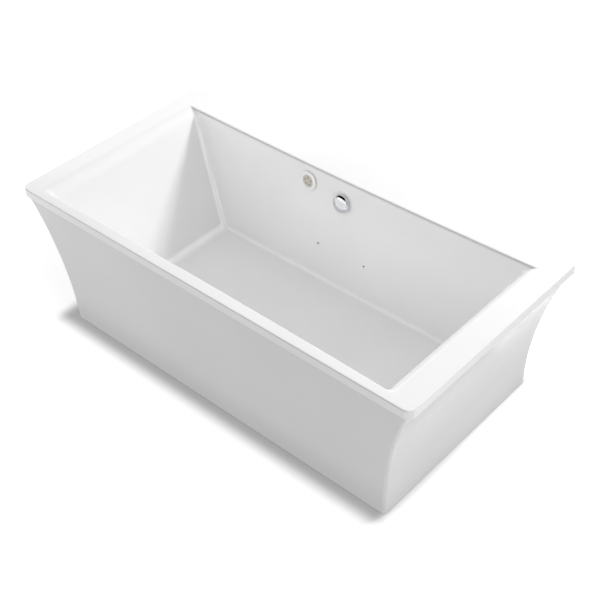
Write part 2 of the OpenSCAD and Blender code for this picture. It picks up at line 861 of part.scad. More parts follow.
// Motor and fan that feed the air jets
module blower() {
    cap_h = 12;
    color("dimgray") difference() {
        translate([blower_x, 0, 0]) {
            bar(blower_r, blower_low, blower_low + blower_h - cap_h);
            translate([0, 0, blower_low + blower_h - cap_h])
                cylinder(r1 = blower_r, r2 = blower_r - 8, h = cap_h);
        }
        translate([air_end_x, 0, 0]) bar(air_r - air_t, blower_low + blower_h - 40, blower_low + blower_h + slack);
    }
}

// Rubber mounts under the blower
module blower_mounts() {
    color("black") for (a = [45:90:315])
        translate([blower_x, 0, 0]) rotate([0, 0, a]) translate([blower_r * 0.7, 0, 0]) bar(9, tray_top, blower_low);
}

// Tray that carries the blower and the control box
module equipment_tray() {
    from_x = blower_x - blower_r;
    to_x = -frame_l / 2 + tube_w;
    from_y = -blower_r - 6;
    to_y = box_pos[1] + box_size[1] / 2 + 6;
    color("silver") translate([from_x, from_y, tray_top - tray_t]) cube([to_x - from_x, to_y - from_y, tray_t]);
}

// Box that switches the blower
module control_box() {
    color("dimgray") translate([box_pos[0] - box_size[0] / 2, box_pos[1] - box_size[1] / 2, tray_top]) cube(box_size);
}

// Gland where the mains supply enters the control box
module supply_gland() {
    color("black") translate([box_pos[0], box_pos[1] + box_size[1] / 2, tray_top + 30]) rotate([-90, 0, 0])
        pipe(9, 4, 0, 16);
}

basin();
shroud();
flange_screws();
base_board();
rail(front_rail_y);  // front_rail
rail(rear_rail_y);  // rear_rail
crossbar(-1);  // left_crossbar
crossbar(1);  // right_crossbar
lock_nuts();
for (i = [0:3]) stud(i);
for (i = [0:3]) pad(i);
drain_flange();
drain_gasket();
drain_shoe();
waste_pipe();
waste_tee();
tailpiece();
slip_nuts();
stopper_cap();
stopper_seal();
stopper_stem();
overflow_flange();
overflow_gasket();
overflow_elbow();
overflow_tube();
overflow_knob();
cable_drum();
drive_cable();
control_bezel();
control_gasket();
control_face();
for (i = [1:buttons]) control_button(i);
control_housing();
control_board();
control_nut();
control_lead();
rear_jets();
front_jets();
jet_nuts();
rear_air_pipe();
front_air_pipe();
air_tee();
check_valve();
air_hose();
blower();
blower_mounts();
equipment_tray();
control_box();
supply_gland();
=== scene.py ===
import json
import math

import bmesh
import bpy
from mathutils import Matrix, Vector


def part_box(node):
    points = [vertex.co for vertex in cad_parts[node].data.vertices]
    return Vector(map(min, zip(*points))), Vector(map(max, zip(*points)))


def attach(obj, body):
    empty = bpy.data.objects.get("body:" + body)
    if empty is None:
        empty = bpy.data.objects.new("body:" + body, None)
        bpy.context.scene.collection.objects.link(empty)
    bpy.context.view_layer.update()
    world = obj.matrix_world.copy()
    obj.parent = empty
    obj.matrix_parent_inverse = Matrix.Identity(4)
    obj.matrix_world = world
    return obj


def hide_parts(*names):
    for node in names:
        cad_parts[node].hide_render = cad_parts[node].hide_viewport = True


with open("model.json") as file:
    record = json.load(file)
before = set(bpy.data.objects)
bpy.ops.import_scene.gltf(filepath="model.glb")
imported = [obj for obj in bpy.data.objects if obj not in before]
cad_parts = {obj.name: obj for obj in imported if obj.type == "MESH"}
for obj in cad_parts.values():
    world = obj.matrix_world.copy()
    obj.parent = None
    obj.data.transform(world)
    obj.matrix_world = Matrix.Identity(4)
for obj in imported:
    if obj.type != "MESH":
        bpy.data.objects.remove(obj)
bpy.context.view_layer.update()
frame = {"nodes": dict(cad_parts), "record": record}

nodes = frame["nodes"]
scene = bpy.context.scene
scene.view_settings.view_transform = "Standard"

# the basin's box gives the deck's size, and everything on the walls follows from it
basinLow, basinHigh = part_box("basin")
halfLength, halfWidth, deckHeight = basinHigh.x, basinHigh.y, basinHigh.z

# sizes that the well and the things mounted on its walls share, in metres
well = {
    "rearWall": 0.324, "frontWall": -0.412,      # where the long walls' planes meet the deck, at mid-length
    "depth": 0.471, "sideRun": 0.060,            # the long walls lean in by this much on the way down
    "endWall": 0.7985, "endRun": 0.188,          # the sloping ends start and lean like this
    "rollRadius": 0.060, "edgeRadius": 0.007,    # soft roll at the ends, tight one along the sides
    "endFillet": 0.045, "sideFillet": 0.020,     # where the walls turn into the floor
    "cornerRadius": 0.026, "cornerFade": 0.034,  # the upright corner fillets die out at the deck
    "rearBow": 0.012, "frontBow": 0.008,         # the long edges bow in towards mid-length
    "rimEdge": 0.003, "rimCorner": 0.028, "rimFace": 0.038,
    "sheet": 0.006, "cornerSteps": 7, "sideCuts": 13,
}
sideSlope = well["sideRun"] / well["depth"]
sideTilt = math.atan(sideSlope)
endSlope = well["endRun"] / well["depth"]
endTilt = math.atan(endSlope)


def clearSelection():
    if bpy.context.object and bpy.context.object.mode != "OBJECT":
        bpy.ops.object.mode_set(mode="OBJECT")
    bpy.ops.object.select_all(action="DESELECT")


def startPiece(name, addPrimitive, **settings):
    clearSelection()
    addPrimitive(**settings)
    piece = bpy.context.object
    piece.name = piece.data.name = name
    bpy.ops.object.mode_set(mode="EDIT")
    return piece


def pick(kind, test):
    # selects the vertices, edges or faces that pass a test of their place
    bpy.ops.mesh.select_mode(type=kind)
    bpy.ops.mesh.select_all(action="DESELECT")
    mesh = bmesh.from_edit_mesh(bpy.context.object.data)
    for part in {"VERT": mesh.verts, "EDGE": mesh.edges, "FACE": mesh.faces}[kind]:
        if test(part):
            part.select_set(True)
    mesh.select_flush_mode()
    bmesh.update_edit_mesh(bpy.context.object.data)


def edgeMiddle(edge):
    return (edge.verts[0].co + edge.verts[1].co) / 2


def faceOutwards(height):
    # the face that stands highest by this measure must point away from the piece
    bpy.ops.mesh.select_all(action="SELECT")
    bpy.ops.mesh.normals_make_consistent(inside=False)
    mesh = bmesh.from_edit_mesh(bpy.context.object.data)
    if height(max(mesh.faces, key=height)) * max(mesh.faces, key=height).normal.z < 0:
        bpy.ops.mesh.flip_normals()


def endEdit():
    bpy.ops.object.mode_set(mode="OBJECT")
    return bpy.context.object


def applyModifier(piece, kind, **settings):
    clearSelection()
    piece.select_set(True)
    bpy.context.view_layer.objects.active = piece
    bpy.ops.object.modifier_add(type=kind)
    modifier = piece.modifiers[-1]
    for key, value in settings.items():
        setattr(modifier, key, value)
    bpy.ops.object.modifier_apply(modifier=modifier.name)


def smooth(piece, angle=35, weighted=True):
    clearSelection()
    piece.select_set(True)
    bpy.context.view_layer.objects.active = piece
    bpy.ops.object.shade_smooth_by_angle(angle=math.radians(angle))
    if weighted:
        applyModifier(piece, "WEIGHTED_NORMAL", keep_sharp=True, weight=60)


def place(piece, matrix):
    clearSelection()
    piece.select_set(True)
    bpy.context.view_layer.objects.active = piece
    piece.matrix_world = matrix @ piece.matrix_world
    bpy.ops.object.transform_apply(location=True, rotation=True, scale=True)
    return piece


def joinPieces(name, pieces):
    clearSelection()
    for piece in pieces:
        piece.select_set(True)
    bpy.context.view_layer.objects.active = pieces[0]
    bpy.ops.object.join()
    pieces[0].name = pieces[0].data.name = name
    return pieces[0]


def copyPiece(piece, name):
    twin = piece.copy()
    twin.data = piece.data.copy()
    twin.name = twin.data.name = name
    scene.collection.objects.link(twin)
    return twin


def rearWallY(z):
    return well["rearWall"] - sideSlope * (deckHeight - z)


def frontWallY(z):
    return well["frontWall"] + sideSlope * (deckHeight - z)


def onRearWall(x, z):
    # local +Z points into the bath and +Y up the wall
    return Matrix.Translation((x, rearWallY(z), z)) @ Matrix.Rotation(math.pi / 2 - sideTilt, 4, "X")


def onFrontWall(x, z):
    return Matrix.Translation((x, frontWallY(z), z)) @ Matrix.Rotation(sideTilt - math.pi / 2, 4, "X")


def addRing(index, lowX, highX, lowY, highY, z, radii, cornerSteps, sideCuts):
    # one rounded rectangle of edges at a height, made from a plane
    bpy.ops.mesh.primitive_plane_add(size=1, location=(0, 0, 0))
    bpy.ops.transform.resize(value=(highX - lowX, highY - lowY, 1), center_override=(0, 0, 0))
    bpy.ops.transform.translate(value=((lowX + highX) / 2, (lowY + highY) / 2, z))
    middle = (lowY + highY) / 2
    for side, radius in ((-1, radii[0]), (1, radii[1])):
        tag = bmesh.from_edit_mesh(bpy.context.object.data).verts.layers.int["ring"]
        pick("VERT", lambda vert: vert[tag] == 0 and (vert.co.y - middle) * side > 0)
        bpy.ops.mesh.bevel(offset=radius, segments=cornerSteps, affect="VERTICES")
    pick("FACE", lambda face: face.verts[0][tag] == 0)
    bpy.ops.mesh.delete(type="ONLY_FACE")
    if sideCuts:
        span = highX - lowX - 2.1 * max(radii)
        mesh = bmesh.from_edit_mesh(bpy.context.object.data)
        tag = mesh.verts.layers.int["ring"]
        pick("EDGE", lambda edge: edge.verts[0][tag] == edge.verts[1][tag] == 0
             and abs(edge.verts[0].co.x - edge.verts[1].co.x) > 0.9 * span)
        bpy.ops.mesh.subdivide(number_cuts=sideCuts)
    mesh = bmesh.from_edit_mesh(bpy.context.object.data)
    tag = mesh.verts.layers.int["ring"]
    for vert in mesh.verts:
        if vert[tag] == 0:
            vert[tag] = index
    bmesh.update_edit_mesh(bpy.context.object.data)


def loftRings(name, rings, cornerSteps, sideCuts):
    # bridges each rounded rectangle to the next one
    piece = startPiece(name, bpy.ops.mesh.primitive_plane_add, size=1, location=(0, 0, 0))
    bpy.ops.mesh.select_all(action="SELECT")
    bpy.ops.mesh.delete(type="VERT")
    mesh = bmesh.from_edit_mesh(piece.data)
    mesh.verts.layers.int.new("ring")
    bmesh.update_edit_mesh(piece.data)
    for index, ring in enumerate(rings):
        addRing(index + 1, *ring, cornerSteps, sideCuts)
    for index in range(1, len(rings)):
        mesh = bmesh.from_edit_mesh(piece.data)
        tag = mesh.verts.layers.int["ring"]
        pick("EDGE", lambda edge: edge.verts[0][tag] == edge.verts[1][tag]
             and edge.verts[0][tag] in (index, index + 1))
        bpy.ops.mesh.bridge_edge_loops(type="SINGLE")
    return piece


def arcDrop(radius, drop):
    # how far an arc that leaves the level has run sideways when it has dropped by this much
    return math.sqrt(max(radius ** 2 - (radius - min(drop, radius)) ** 2, 0))


def endProfile(drop):
    # half length of the well at a drop below the deck
    turn = math.pi / 2 - endTilt
    radius, fillet = well["rollRadius"], well["endFillet"]
    start = well["endWall"] + radius * math.tan(turn / 2)
    floorEdge = well["endWall"] - well["endRun"]
    filletStart = well["depth"] - fillet * (1 - math.cos(turn))
    if drop < radius * (1 - math.cos(turn)):
        return start - arcDrop(radius, drop)
    if drop < filletStart:
        return well["endWall"] - endSlope * drop
    return floorEdge - fillet * math.tan(turn / 2) + arcDrop(fillet, well["depth"] - drop)


def sideProfile(drop):
    # how far a long wall stands in from its line at the deck
    turn = math.pi / 2 - sideTilt
    radius, fillet = well["edgeRadius"], well["sideFillet"]
    if drop < radius * (1 - math.cos(turn)):
        return arcDrop(radius, drop) - radius * math.tan(turn / 2)
    if drop < well["depth"] - fillet * (1 - math.cos(turn)):
        return sideSlope * drop
    return well["sideRun"] + fillet * math.tan(turn / 2) - arcDrop(fillet, well["depth"] - drop)


def cornerAt(drop):
    # the front corners are round from the deck down, the rear ones grow out of a crisp deck edge
    rise = min(drop / well["cornerFade"], 1)
    rear = 0.0006 + well["cornerRadius"] * (1 - (1 - rise) ** 2)
    last = max(0, drop - (well["depth"] - 0.03)) / 0.03
    shrink = 1 - 0.55 * last ** 2
    return max(well["cornerRadius"], rear) * shrink, rear * shrink


def makeBasin():
    drops = [0, 0.0001, 0.0003, 0.0006, 0.001, 0.0015, 0.0021, 0.0028, 0.0036, 0.0045, 0.0052, 0.0061, 0.008, 0.0108,
             0.014, 0.0176, 0.0214, 0.0256, 0.030, 0.0346, 0.0378, 0.06, 0.11, 0.18, 0.26, 0.34, 0.40, 0.43,
             0.4427, 0.447, 0.451, 0.455, 0.459, 0.4625, 0.4655, 0.468, 0.4697, 0.4706, 0.471]
    rings = []
    for step in (90, 66, 45, 27, 12, 0):
        out = well["rimEdge"] * (1 - math.sin(math.radians(step)))
        down = well["rimEdge"] * (1 - math.cos(math.radians(step)))
        rings.append((out - halfLength, halfLength - out, out - halfWidth, halfWidth - out,
                      deckHeight - down, [well["rimCorner"] - out] * 2))
    lipEnd = (0.0008 - halfLength, halfLength - 0.0008, 0.0008 - halfWidth, halfWidth - 0.0008,
              deckHeight - well["rimFace"], [well["rimCorner"] - 0.0008] * 2)
    lipRound = (-halfLength, halfLength, -halfWidth, halfWidth, deckHeight - well["rimFace"] + 0.0012,
                [well["rimCorner"]] * 2)
    # two rings down the rim's face keep the painted shade under the front rim's top edge to a thin band
    face = [(-halfLength, halfLength, -halfWidth, halfWidth, deckHeight - drop, [well["rimCorner"]] * 2)
            for drop in (0.0085, 0.0062)]
    rings = [lipEnd, lipRound] + face + rings
    for drop in drops:
        halfX = endProfile(drop)
        inward = sideProfile(drop)
        rings.append((-halfX, halfX, well["frontWall"] + inward, well["rearWall"] - inward,
                      deckHeight - drop, cornerAt(drop)))
    piece = loftRings("basinShell", rings, well["cornerSteps"], well["sideCuts"])
    mesh = bmesh.from_edit_mesh(piece.data)
    tag = mesh.verts.layers.int["ring"]
    for vert in mesh.verts:      # the long edges bow in towards mid-length, most at the deck
        if vert[tag] > 10:
            share = (vert.co.x / halfLength) ** 2 * (1 - 0.7 * (deckHeight - vert.co.z) / well["depth"])
            vert.co.y += share * (1.2 * well["rearBow"] if vert.co.y > 0 else -1.2 * well["frontBow"])
    bmesh.update_edit_mesh(piece.data)
    last = len(rings)
    pick("EDGE", lambda edge: edge.verts[0][tag] == edge.verts[1][tag] == last)
    bpy.ops.mesh.edge_face_add()
    bpy.ops.mesh.select_all(action="SELECT")
    bpy.ops.mesh.normals_make_consistent(inside=False)
    mesh = bmesh.from_edit_mesh(piece.data)
    if max(mesh.faces, key=lambda face: face.calc_area()).normal.z < 0:
        bpy.ops.mesh.flip_normals()
    endEdit()
    applyModifier(piece, "SOLIDIFY", thickness=well["sheet"] - 0.0002, offset=-1, use_even_offset=True)
    return piece


def makeCutters():
    # plain bars at the holes that the fittings pass through
    spots = [(Matrix.Translation((0, -0.095, deckHeight - well["depth"])), 0.0205),
             (onRearWall(0, 0.510), 0.0238), (onRearWall(-0.170, 0.537), 0.0292)]
    for x in (-0.105, 0.125):
        spots += [(onRearWall(x, 0.289), 0.0051), (onFrontWall(x, 0.289), 0.0051)]
    bars = []
    for matrix, radius in spots:
        clearSelection()
        bpy.ops.mesh.primitive_cylinder_add(vertices=48, radius=radius, depth=0.05)
        bars.append(place(bpy.context.object, matrix))
    return joinPieces("holeCutter", bars)


def band(value, low, full, end):
    # rises from low to full, falls to nothing at end
    if value <= low or value >= end:
        return 0.0
    return (value - low) / (full - low) if value < full else (end - value) / (end - full)


def paintWallShadeAndLight(piece):
    # painted shade and painted highlight, by place: how far each point lies in the tight edge below the rear deck and
    # just under the front rim's top edge, which get painted shade, and in a fillet between two walls or into the floor,
    # which gets a painted highlight
    edge = piece.data.attributes.new("paintedEdgeShade", "FLOAT", "POINT")
    fillet = piece.data.attributes.new("paintedFilletLight", "FLOAT", "POINT")
    for vert, paintedShadeValue, paintedLightValue in zip(piece.data.vertices, edge.data, fillet.data):
        x, y, drop = abs(vert.co.x), vert.co.y, deckHeight - vert.co.z
        # painted shade just under the front rim's top edge
        if y < 0.004 - halfWidth:
            paintedShadeValue.value = band(drop, 0.0002, 0.004, 0.0085)
            continue
        if drop < 0.0001 or drop > well["depth"] + 0.0001:
            continue
        onEnd = x > endProfile(drop) - 0.00005
        toRear = (rearWallY(vert.co.z) - y) * math.cos(sideTilt)
        toEnd = (well["endWall"] - endSlope * drop - x) * math.cos(endTilt)
        # painted shade in the tight edge below the rear deck
        if abs(toRear) < 0.016 and not onEnd:
            paintedShadeValue.value = band(drop, 0.0004, 0.003, 0.0125)
        # painted highlight down the upright corner fillets
        if toRear < 0.03 and toEnd < 0.03 and drop > 0.02:
            paintedLightValue.value = max(band(toRear, 0.0, 0.0022, 0.006), band(toEnd, 0.0, 0.0022, 0.006))
        # painted highlight along the fillets into the floor, half as strong on the long walls
        low = band(drop, 0.4427, 0.459, 0.4712) if onEnd else 0.5 * band(drop, 0.455, 0.4655, 0.4712)
        paintedLightValue.value = max(paintedLightValue.value, low)


basin = makeBasin()
cutter = makeCutters()
applyModifier(basin, "BOOLEAN", operation="DIFFERENCE", object=cutter, solver="EXACT")
bpy.data.objects.remove(cutter)
smooth(basin, 40)
# painted shade and painted highlight values for the basin's edges and fillets
paintWallShadeAndLight(basin)
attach(basin, "tub")
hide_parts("basin")
print("stage: basin", len(basin.data.polygons))

# the outer skirt under the rim
skirt = {
    "foot": 0.002, "top": 0.599, "flareTop": 0.568,
    "endInset": 0.127, "sideInset": 0.046, "topInset": 0.010, "endFlare": 2.2, "sideFlare": 1.7,
    "corner": 0.014, "wall": 0.005, "flange": 0.020, "steps": 26,
}


def skirtInset(z, low, bend):
    return low - (low - skirt["topInset"]) * min(max(z, 0) / skirt["flareTop"], 1) ** bend


def makeSkirt():
    heights = [skirt["foot"] + 0.0016 * (1 - math.cos(math.radians(a))) for a in (0, 35, 65, 90)]
    heights += [skirt["foot"] + 0.0016 + (skirt["flareTop"] - skirt["foot"] - 0.0016) * i / skirt["steps"]
                for i in range(1, skirt["steps"] + 1)]
    heights.append(skirt["top"])
    rings = []
    for i, z in enumerate(heights):
        nip = 0.0016 * (1 - math.sin(math.radians((0, 35, 65, 90)[i]))) if i < 4 else 0
        inX = skirtInset(z, skirt["endInset"], skirt["endFlare"]) + nip
        inY = skirtInset(z, skirt["sideInset"], skirt["sideFlare"]) + nip
        rings.append((inX - halfLength, halfLength - inX, inY - halfWidth, halfWidth - inY, z, [skirt["corner"]] * 2))
    piece = loftRings("outerSkirt", rings, 6, 0)
    pick("EDGE", lambda edge: edge.is_boundary and edgeMiddle(edge).z > skirt["flareTop"])
    bpy.ops.mesh.extrude_region_move()
    bpy.ops.transform.resize(value=(1 - skirt["flange"] / halfLength, 1 - skirt["flange"] / halfWidth, 1),
                             center_override=(0, 0, skirt["top"]))
    bpy.ops.mesh.select_all(action="SELECT")
    bpy.ops.mesh.normals_make_consistent(inside=False)
    mesh = bmesh.from_edit_mesh(piece.data)
    side = max(mesh.faces, key=lambda face: face.calc_center_median().x)
    if side.normal.x < 0:
        bpy.ops.mesh.flip_normals()
    endEdit()
    applyModifier(piece, "SOLIDIFY", thickness=skirt["wall"], offset=-1, use_even_offset=True)
    smooth(piece, 40)
    return piece


outerSkirt = makeSkirt()
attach(outerSkirt, "tub")
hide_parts("shroud")
print("stage: skirt", len(outerSkirt.data.polygons))

# chrome overflow knob: a dome with a flat lower side, on its shaft
knob = {
    "x": 0.0, "z": 0.510, "radius": 0.037, "height": 0.0258, "skirt": 0.0085, "gap": 0.0016,
    "flat": 0.031, "edge": 0.0016, "wall": 0.002, "shaft": 0.0058,
}


def makeKnob():
    piece = startPiece("overflowKnob", bpy.ops.mesh.primitive_uv_sphere_add, segments=96, ring_count=48,
                       radius=knob["radius"], location=(0, 0, 0))
    bpy.ops.mesh.select_all(action="SELECT")
    bpy.ops.mesh.bisect(plane_co=(0, 0, 0.00001), plane_no=(0, 0, 1), clear_inner=True)
    bpy.ops.mesh.select_all(action="SELECT")
    dome = knob["height"] - knob["gap"] - knob["skirt"]
    bpy.ops.transform.resize(value=(1, 1, dome / knob["radius"]), center_override=(0, 0, 0))
    bpy.ops.transform.translate(value=(0, 0, knob["gap"] + knob["skirt"]))
    pick("EDGE", lambda edge: edge.is_boundary)
    bpy.ops.mesh.extrude_region_move(TRANSFORM_OT_translate={"value": (0, 0, -knob["skirt"])})
    bpy.ops.mesh.select_all(action="SELECT")
    bpy.ops.mesh.bisect(plane_co=(0, -knob["flat"], 0), plane_no=(0, 1, 0), clear_inner=True)
    pick("EDGE", lambda edge: edge.is_boundary and abs(edgeMiddle(edge).y + knob["flat"]) < 1e-6)
    bpy.ops.mesh.edge_face_add()
    pick("EDGE", lambda edge: len(edge.link_faces) == 2 and abs(edgeMiddle(edge).y + knob["flat"]) < 1e-6
         and edgeMiddle(edge).z > knob["gap"] + 0.0002)
    bpy.ops.mesh.bevel(offset=knob["edge"], segments=5, affect="EDGES")
    pick("EDGE", lambda edge: edge.is_boundary)
    bpy.ops.mesh.edge_face_add()
    pick("FACE", lambda face: face.calc_center_median().z < knob["gap"] + 0.0001)
    bpy.ops.mesh.inset(thickness=knob["wall"])
    bpy.ops.mesh.extrude_region_move(TRANSFORM_OT_translate={"value": (0, 0, knob["skirt"])})
    faceOutwards(lambda face: face.calc_center_median().z)
    bpy.ops.mesh.select_all(action="SELECT")
    bpy.ops.mesh.remove_doubles(threshold=0.00001)
    endEdit()
    smooth(piece, 50, weighted=False)
    return place(piece, onRearWall(knob["x"], knob["z"]))


def makeShaft():
    piece = startPiece("knobShaft", bpy.ops.mesh.primitive_cylinder_add, vertices=40, radius=knob["shaft"],
                       depth=0.056, location=(0, 0, -0.0052))
    pick("FACE", lambda face: abs(face.normal.z) > 0.9)
    bpy.ops.mesh.inset(thickness=0.001)
    bpy.ops.mesh.bevel(offset=0.0006, segments=2, affect="EDGES")
    endEdit()
    smooth(piece)
    return place(piece, onRearWall(knob["x"], knob["z"]))


overflowKnob = makeKnob()
knobShaft = makeShaft()
for piece in (overflowKnob, knobShaft):
    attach(piece, "knob")
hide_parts("overflow_knob")
print("stage: knob")

# white control with a raised ring, a satin face and five small buttons
control = {
    "x": -0.170, "z": 0.537, "ringOuter": 0.0394, "ringInner": 0.0246, "ringTop": 0.007, "ringRound": 0.0028,
    "faceTop": 0.0054, "buttonRing": 0.0145, "buttonRadius": 0.003, "buttonTop": 0.0065, "buttons": 5,
}


def spinProfile(name, outline, steps=96):
    # revolves an outline of (radius, height) points about +Z
    piece = startPiece(name, bpy.ops.mesh.primitive_plane_add, size=0.001, location=(0, 0, 0))
    bpy.ops.mesh.select_all(action="SELECT")
    bpy.ops.mesh.delete(type="VERT")
    mesh = bmesh.from_edit_mesh(piece.data)
    verts = [mesh.verts.new((radius, 0, height)) for radius, height in outline]
    for first, second in zip(verts, verts[1:]):
        mesh.edges.new((first, second))
    bmesh.update_edit_mesh(piece.data)
    bpy.ops.mesh.select_all(action="SELECT")
    bpy.ops.mesh.spin(steps=steps, angle=math.tau, center=(0, 0, 0), axis=(0, 0, 1))
    bpy.ops.mesh.select_all(action="SELECT")
    bpy.ops.mesh.remove_doubles(threshold=0.00002)
    bpy.ops.mesh.normals_make_consistent(inside=False)
    endEdit()
    return piece


def roundEdge(x, z, radius, start, end, steps=6):
    return [(x + radius * math.cos(math.radians(start + (end - start) * i / steps)),
             z + radius * math.sin(math.radians(start + (end - start) * i / steps))) for i in range(steps + 1)]


def makeControlRing():
    inner, outer, top, soft = control["ringInner"], control["ringOuter"], control["ringTop"], control["ringRound"]
    outline = [(inner, 0.0012), (outer - 0.0006, 0.0012), (outer, 0.0018)]
    outline += roundEdge(outer - soft, top - soft, soft, 0, 90, 8)
    outline += roundEdge(inner + 0.0012, top - 0.0012, 0.0012, 90, 180, 5)
    outline += [(inner, 0.0012)]
    piece = spinProfile("controlRing", outline)
    smooth(piece, 50)
    return place(piece, onRearWall(control["x"], control["z"]))


def makeButton(number):
    radius, top = control["buttonRadius"] - 0.0001, control["buttonTop"]
    outline = [(0, -0.0015), (radius, -0.0015), (radius, top - 0.0007)]
    outline += roundEdge(radius - 0.0007, top - 0.0007, 0.0007, 15, 90, 4)
    outline += [(0.0014, top - 0.00015), (0, top - 0.0003)]
    piece = spinProfile(f"pushButton{number}", outline, 32)
    smooth(piece, 45)
    turn = Matrix.Rotation(math.tau * number / control["buttons"], 4, "Z")
    return place(piece, onRearWall(control["x"], control["z"]) @ turn @ Matrix.Translation((0, control["buttonRing"], 0)))


controlRing = makeControlRing()
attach(controlRing, "tub")
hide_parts("control_bezel")
pushButtons = []
for number in range(1, control["buttons"] + 1):
    button = makeButton(number)
    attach(button, f"button_{number}")
    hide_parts(f"control_button_{number}")
    pushButtons.append(button)
print("stage: control")

# small air jets in both long walls
jet = {"xs": (-0.105, 0.125), "z": 0.289, "radius": 0.009, "height": 0.0018, "hole": 0.0032, "neck": 0.005, "back": 0.017}


def makeJet(name, matrix):
    outline = [(jet["hole"], -jet["back"]), (jet["neck"], -jet["back"]), (jet["neck"], 0.0), (jet["radius"] - 0.0002, 0.0)]
    outline += [(jet["radius"], 0.0003)]
    outline += [(jet["radius"] - 0.0006, 0.0009), (jet["radius"] - 0.0018, 0.0014), (jet["radius"] - 0.0032, 0.0017)]
    outline += roundEdge(jet["hole"] + 0.0008, jet["height"] - 0.0008, 0.0008, 90, 180, 4)
    outline += [(jet["hole"], -jet["back"])]
    piece = spinProfile(name, outline, 48)
    smooth(piece, 50)
    return place(piece, matrix)


rearJets = joinPieces("rearAirJets", [makeJet("jetA", onRearWall(x, jet["z"])) for x in jet["xs"]])
frontJets = joinPieces("frontAirJets", [makeJet("jetB", onFrontWall(x, jet["z"])) for x in jet["xs"]])
for piece, node in ((rearJets, "rear_jets"), (frontJets, "front_jets")):
    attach(piece, "tub")
    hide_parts(node)

# domed chrome stopper that lifts out of the drain ring
drain = {"x": 0.0, "y": -0.095, "floor": deckHeight - well["depth"], "radius": 0.038, "rise": 0.003, "throat": 0.020,
         "neckLow": -0.032, "stopper": 0.031, "seat": 0.0053}


def makeDrainCap():
    low = drain["seat"]
    outline = [(0, low), (drain["stopper"] - 0.0008, low), (drain["stopper"], low + 0.0008)]
    outline += [(drain["stopper"], low + 0.0022), (drain["stopper"] - 0.0006, low + 0.003)]
    for i in range(1, 9):
        share = i / 8
        outline.append(((drain["stopper"] - 0.001) * (1 - share ** 1.6), low + 0.003 + 0.0019 * math.sin(share * math.pi / 2)))
    piece = spinProfile("drainStopper", outline)
    smooth(piece, 50)
    return place(piece, Matrix.Translation((drain["x"], drain["y"], drain["floor"])))


drainStopper = makeDrainCap()
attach(drainStopper, "stopper")
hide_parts("stopper_cap")
print("stage: drain and jets")


def linear(hexColor):
    # sRGB hex to Blender's linear colour
    parts = [int(hexColor[i:i + 2], 16) / 255 for i in (1, 3, 5)]
    return tuple(p / 12.92 if p <= 0.04045 else ((p + 0.055) / 1.055) ** 2.4 for p in parts) + (1.0,)


def addNode(tree, kind, settings=None, links=None):
    # adds a node; capitalised names and numbers are sockets, the rest are the node's own settings
    node = tree.nodes.new(kind)
    for key, value in (settings or {}).items():
        if isinstance(key, int) or key[0].isupper():
            node.inputs[key].default_value = value
        else:
            setattr(node, key, value)
    for key, source in (links or {}).items():
        tree.links.new(source, node.inputs[key])
    return node


def startMaterial(name, **sockets):
    material = bpy.data.materials.new(name)
    material.use_nodes = True
    tree = material.node_tree
    shader = tree.nodes["Principled BSDF"]
    for key, value in sockets.items():
        shader.inputs[key.replace("_", " ")].default_value = value
    return material, tree, shader


def surfaceMaterial(look):
    # colour that drifts between two tones, roughness between two values, and a fine bump
    material, tree, shader = startMaterial(look["name"], **look["sockets"])
    where = addNode(tree, "ShaderNodeTexCoord").outputs["Object"]
    stretch = addNode(tree, "ShaderNodeMapping", {"Scale": look.get("stretch", (1, 1, 1))}, {"Vector": where})
    drift = addNode(tree, "ShaderNodeTexNoise", {"Scale": look["drift"], "Detail": 3.0, "Roughness": 0.55},
                    {"Vector": stretch.outputs[0]})
    tone = addNode(tree, "ShaderNodeValToRGB", None, {0: drift.outputs[0]})
    tone.color_ramp.elements[0].position, tone.color_ramp.elements[1].position = look.get("span", (0.3, 0.7))
    tone.color_ramp.elements[0].color, tone.color_ramp.elements[1].color = linear(look["tones"][0]), linear(look["tones"][1])
    tree.links.new(tone.outputs[0], shader.inputs["Base Color"])
    polish = addNode(tree, "ShaderNodeMapRange", {"From Min": 0.3, "From Max": 0.7, "To Min": look["rough"][0],
                                                  "To Max": look["rough"][1]})
    fine = addNode(tree, "ShaderNodeTexNoise", {"Scale": look["grain"], "Detail": 4.0, "Roughness": 0.6},
                   {"Vector": stretch.outputs[0]})
    tree.links.new(fine.outputs[0], polish.inputs[0])
    tree.links.new(polish.outputs[0], shader.inputs["Roughness"])
    bump = addNode(tree, "ShaderNodeBump", {"Strength": look["bump"][0], "Distance": look["bump"][1]},
                   {"Height": fine.outputs[0]})
    tree.links.new(bump.outputs[0], shader.inputs["Normal"])
    return material


def paintEdgeShadeAndFilletLight(material):
    # tight painted shade where the rear deck turns down and under the front rim's top edge, and a painted highlight
    # with a faint painted glow in the fillets between walls
    tree = material.node_tree
    shader = tree.nodes["Principled BSDF"]
    base = shader.inputs["Base Color"].links[0].from_socket
    edge = addNode(tree, "ShaderNodeAttribute", {"attribute_name": "paintedEdgeShade"})
    fillet = addNode(tree, "ShaderNodeAttribute", {"attribute_name": "paintedFilletLight"})
    # grey mixed into the colour: painted shade
    shaded = addNode(tree, "ShaderNodeMix", {"data_type": "RGBA", 7: linear("#C2C2C2")}, {0: edge.outputs["Fac"], 6: base})
    # white mixed into the colour: painted highlight
    lit = addNode(tree, "ShaderNodeMix", {"data_type": "RGBA", 7: linear("#FFFFFF")},
                  {0: fillet.outputs["Fac"], 6: shaded.outputs[2]})
    # a faint emission in the same fillets: painted glow
    paintedGlow = addNode(tree, "ShaderNodeMath", {"operation": "MULTIPLY", 1: 0.09}, {0: fillet.outputs["Fac"]})
    tree.links.new(lit.outputs[2], shader.inputs["Base Color"])
    tree.links.new(paintedGlow.outputs[0], shader.inputs["Emission Strength"])
    shader.inputs["Emission Color"].default_value = (1, 1, 1, 1)


